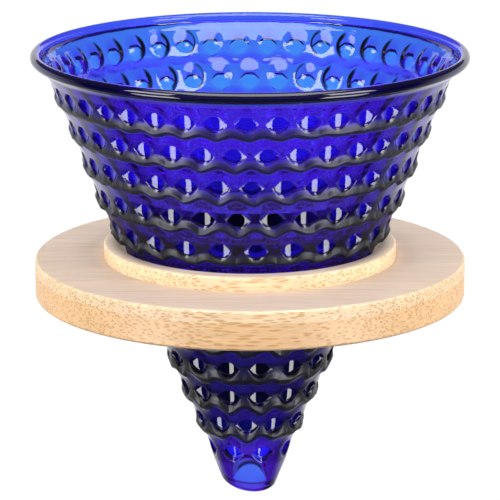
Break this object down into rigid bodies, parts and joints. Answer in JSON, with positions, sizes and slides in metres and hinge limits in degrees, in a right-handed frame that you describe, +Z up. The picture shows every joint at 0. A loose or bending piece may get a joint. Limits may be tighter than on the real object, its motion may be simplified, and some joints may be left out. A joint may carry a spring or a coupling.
{
  "type": "pour-over coffee dripper",
  "caption": "Dimpled blue glass cone with a rolled rim and an open slanted tip, standing loose in a round bamboo collar that rests on a mug or server.",
  "frame": {"origin": "centre of the collar's underside, on the axis of the cone", "axes": "+Z up along the axis of the cone, +Y away from the viewer and from the side where the tip reaches lowest, +X to the viewer's right"},
  "size_m": [0.118, 0.118, 0.1231],
  "materials": {
    "cobalt_glass": "gloss",
    "bamboo_upper": "satin",
    "bamboo_lower": "satin"
  },
  "bodies": {
    "collar": {"collar_upper_ply": "bamboo_upper", "collar_lower_ply": "bamboo_lower"},
    "cone": {"glass_cone": "cobalt_glass"}
  },
  "joints": [
    {"name": "cone_lift", "type": "slide", "parent": "collar", "child": "cone", "axis": [0, 0, 1], "range_m": [0, 0.08]}
  ]
}
